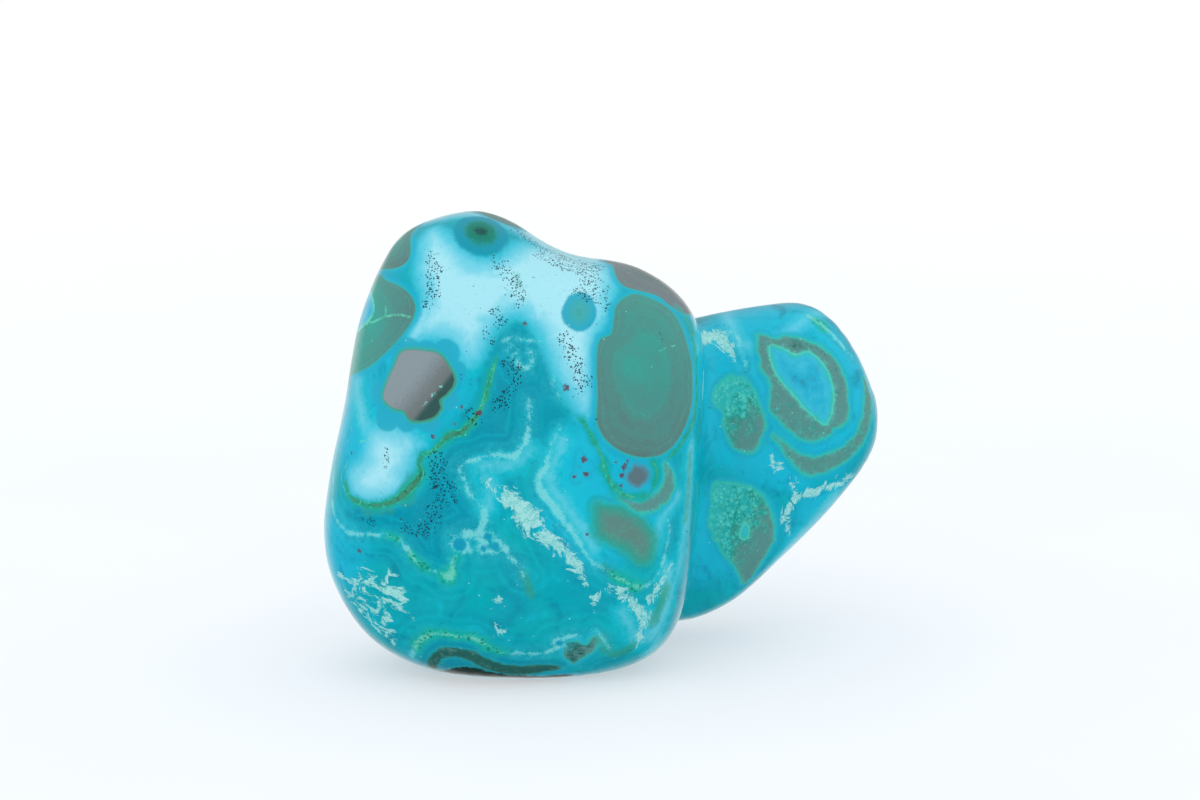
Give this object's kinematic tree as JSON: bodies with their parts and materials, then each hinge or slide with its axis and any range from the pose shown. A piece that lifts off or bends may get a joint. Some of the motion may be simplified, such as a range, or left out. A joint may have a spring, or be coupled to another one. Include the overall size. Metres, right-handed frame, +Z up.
{
  "type": "chrysocolla specimen",
  "caption": "Tumbled and polished mineral nugget, a broad upright lobe with a smaller lobe grown onto one flank, that stands on a small worn flat.",
  "frame": {"origin": "on the resting plane, under the middle of the bounding box", "axes": "+X to the right and +Y to the back as seen facing the broad lobe, +Z up"},
  "size_m": [0.0618, 0.037, 0.0501],
  "materials": {
    "chrysocolla": "polished, with banded malachite eyes and matte chalky seams"
  },
  "bodies": {
    "root": {"chrysocolla_nugget": "chrysocolla"}
  },
  "joints": []
}
